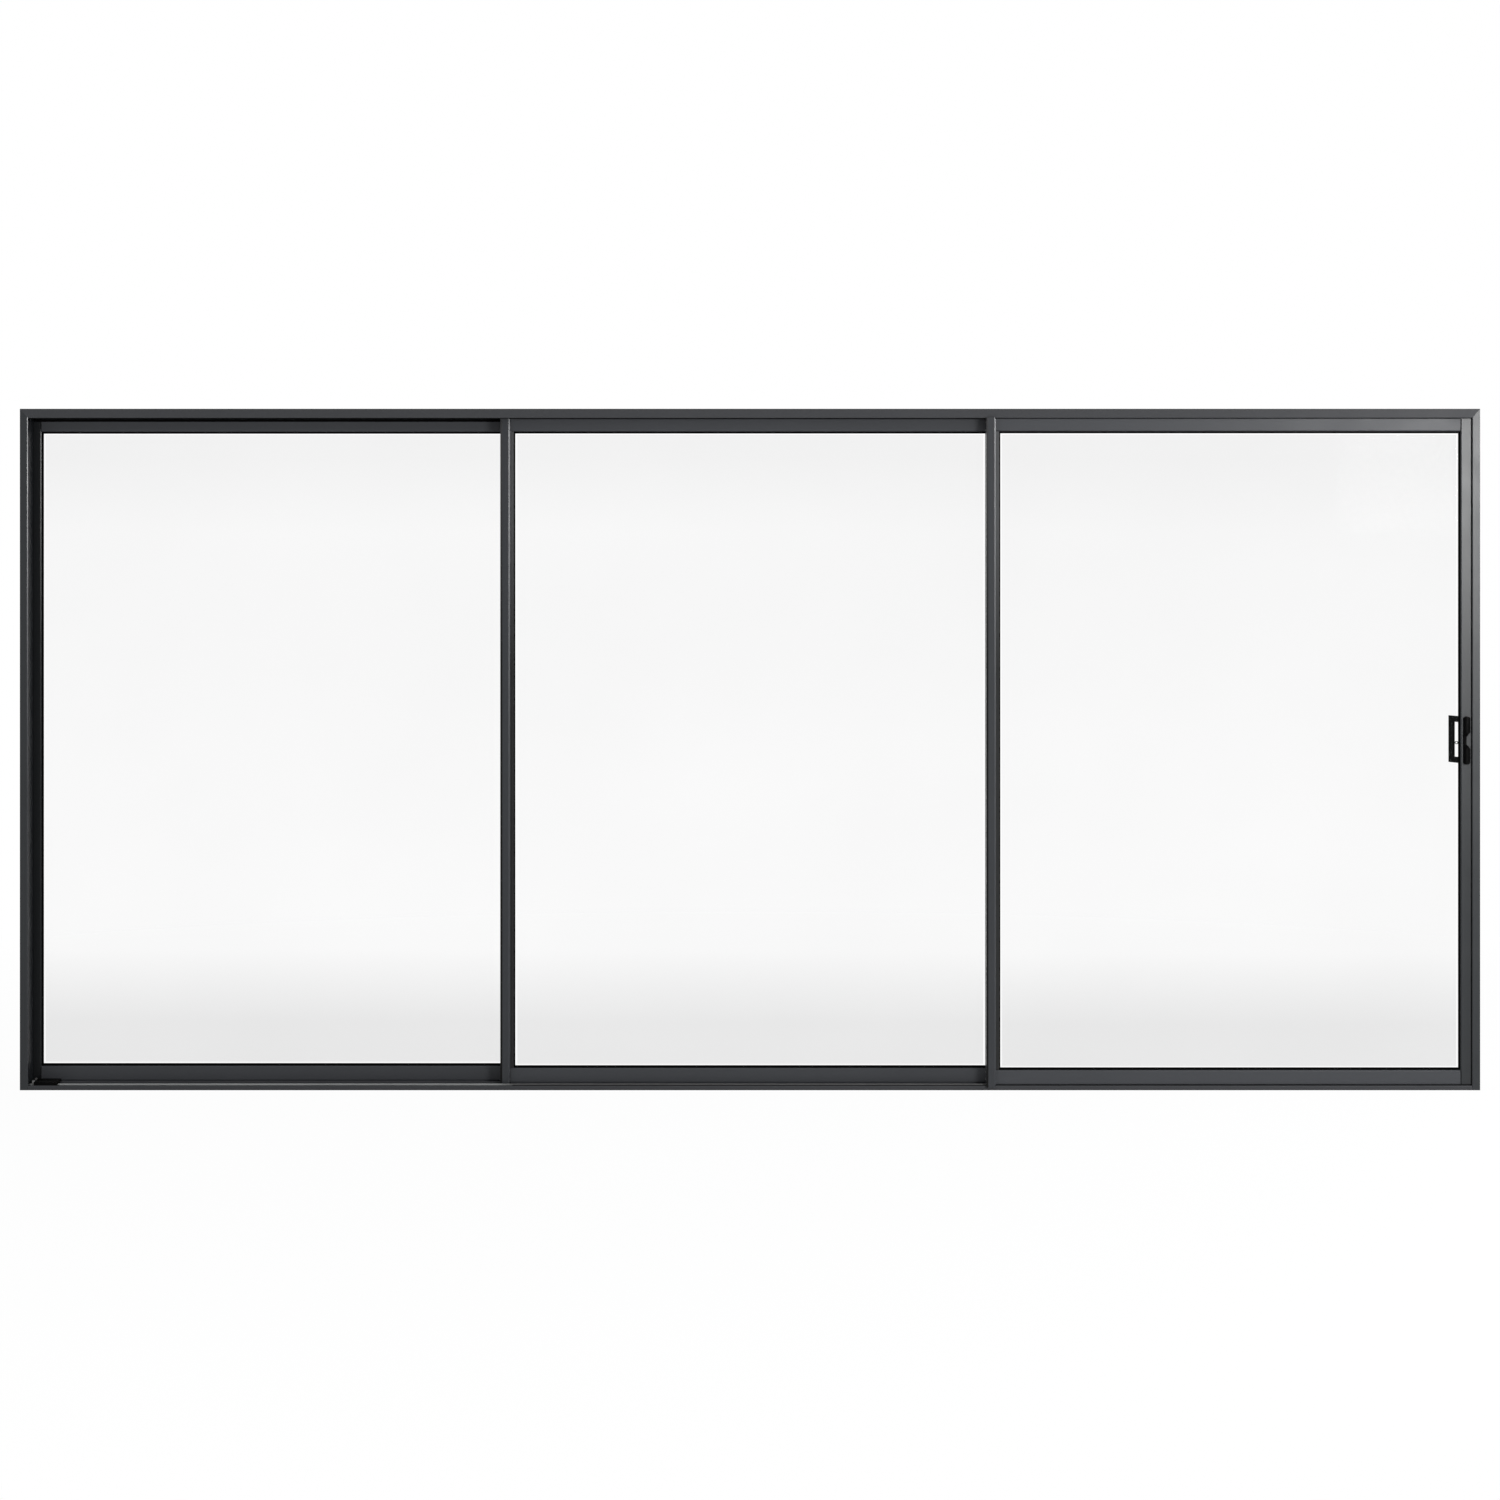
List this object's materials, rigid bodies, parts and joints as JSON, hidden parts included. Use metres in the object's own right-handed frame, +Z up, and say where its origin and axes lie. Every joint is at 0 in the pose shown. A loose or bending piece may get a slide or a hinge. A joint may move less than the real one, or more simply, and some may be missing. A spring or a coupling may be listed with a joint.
{
  "type": "three-panel stacking sliding patio door",
  "caption": "Wide aluminium patio door whose glass leaves slide on parallel tracks and stack in front of a fixed leaf, with hooked meeting stiles and a small lock and pull at one edge.",
  "frame": {"origin": "middle of the sill's underside, on the floor and halfway through the frame's depth", "axes": "+X to the right of someone who faces the front, +Y into the back where the pull is, +Z up"},
  "size_m": [4.5, 0.141, 2.1],
  "materials": {
    "frame_coat": "charcoal powder coat, satin",
    "track_metal": "natural anodised, worn by rollers",
    "clear_glass": "clear toughened float glass",
    "glazing_rubber": "black glazing gasket, matt",
    "stop_rubber": "black moulded rubber, matt",
    "packer_plastic": "black moulded plastic",
    "roller_plastic": "off-white nylon",
    "lock_coat": "black powder-coated die casting, satin",
    "lock_steel": "dull plated steel"
  },
  "bodies": {
    "frame": {"head": "frame_coat", "left_jamb": "frame_coat", "right_jamb": "frame_coat", "sill": "frame_coat", "front_track_cap": "track_metal", "middle_track_cap": "frame_coat", "rear_track_cap": "frame_coat", "front_jamb_infill": "frame_coat", "middle_jamb_infill": "frame_coat", "front_track_bracket": "track_metal", "middle_track_bracket": "track_metal", "front_track_buffer": "stop_rubber", "middle_track_buffer": "stop_rubber", "lock_keeper": "lock_steel", "left_leaf_top_rail": "frame_coat", "left_leaf_bottom_rail": "frame_coat", "left_leaf_jamb_stile": "frame_coat", "left_leaf_meeting_stile": "frame_coat", "left_leaf_glass": "clear_glass", "left_leaf_gasket": "glazing_rubber", "left_leaf_left_packer": "packer_plastic", "left_leaf_right_packer": "packer_plastic"},
    "middle_leaf": {"middle_leaf_top_rail": "frame_coat", "middle_leaf_bottom_rail": "frame_coat", "middle_leaf_interlock_stile": "frame_coat", "middle_leaf_meeting_stile": "frame_coat", "middle_leaf_glass": "clear_glass", "middle_leaf_gasket": "glazing_rubber", "middle_leaf_left_roller": "roller_plastic", "middle_leaf_right_roller": "roller_plastic"},
    "right_leaf": {"right_leaf_top_rail": "frame_coat", "right_leaf_bottom_rail": "frame_coat", "right_leaf_interlock_stile": "frame_coat", "right_leaf_lock_stile": "frame_coat", "right_leaf_glass": "clear_glass", "right_leaf_gasket": "glazing_rubber", "right_leaf_left_roller": "roller_plastic", "right_leaf_right_roller": "roller_plastic", "lock_housing": "lock_coat", "inside_pull": "lock_coat", "latch_lever": "lock_steel", "pick_up_stop": "stop_rubber"}
  },
  "joints": [
    {"name": "middle_leaf_slide", "type": "slide", "parent": "frame", "child": "middle_leaf", "axis": [-1, 0, 0], "range_m": [0, 1.36]},
    {"name": "right_leaf_slide", "type": "slide", "parent": "middle_leaf", "child": "right_leaf", "axis": [-1, 0, 0], "range_m": [0, 1.36]}
  ]
}
